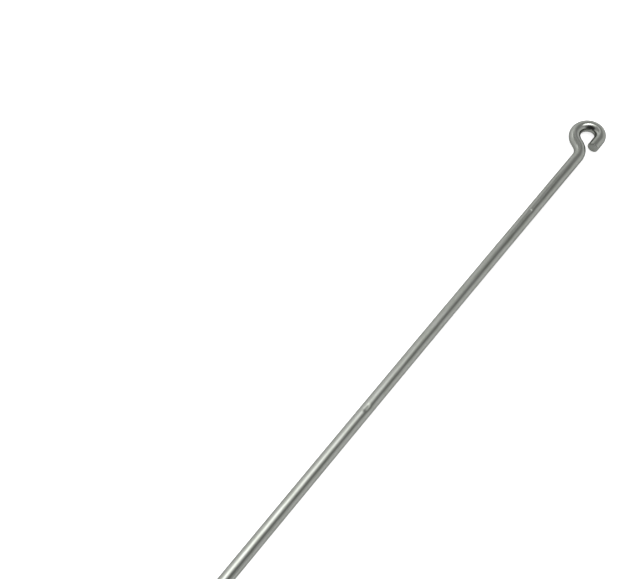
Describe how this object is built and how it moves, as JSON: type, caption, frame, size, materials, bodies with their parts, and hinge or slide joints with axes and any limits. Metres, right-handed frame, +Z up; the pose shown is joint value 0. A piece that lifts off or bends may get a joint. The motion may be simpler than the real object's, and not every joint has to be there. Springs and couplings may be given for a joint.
{
  "type": "inoculating loop",
  "caption": "Steel wire handle with an open hanging eye, and a screw chuck with a collet that grips a replaceable nichrome wire loop.",
  "frame": {"origin": "on the bench, under the middle of the whole tool's box", "axes": "+X along the handle from the loop to the hanging eye, +Y to the side that the eye is offset to, +Z up; the eye and the loop lie flat, in the plane of X and Y"},
  "size_m": [0.254, 0.0102, 0.008],
  "materials": {
    "drawn_steel": "drawn bright steel wire, fine lines along its length",
    "nickel_plate": "satin nickel plate",
    "spring_steel": "drawn spring wire",
    "brass": "turned brass",
    "nichrome": "drawn resistance wire, heat tinted at the loop"
  },
  "bodies": {
    "handle": {"handle_rod": "drawn_steel", "lock_nut": "nickel_plate", "chuck_body": "nickel_plate", "collet_spring": "spring_steel"},
    "collet": {"collet": "brass"},
    "clamp_nut": {"clamp_nut": "nickel_plate"},
    "loop": {"loop_wire": "nichrome"}
  },
  "joints": [
    {"name": "collet_slide", "type": "slide", "parent": "handle", "child": "collet", "axis": [-1, 0, 0], "range_m": [0, 0.0015], "deforming": ["collet_spring"]},
    {"name": "nut_turn", "type": "hinge", "parent": "collet", "child": "clamp_nut", "pos_m": [-0.06261, -0.00113, 0.004], "axis": [-1, 0, 0], "range_deg": [0, 720]},
    {"name": "wire_pull", "type": "slide", "parent": "collet", "child": "loop", "axis": [-1, 0, 0], "range_m": [0, 0.0095]}
  ],
  "couplings": [
    {"joint": "nut_turn", "follows": "collet_slide", "rad_per_m": 8377.6}
  ]
}
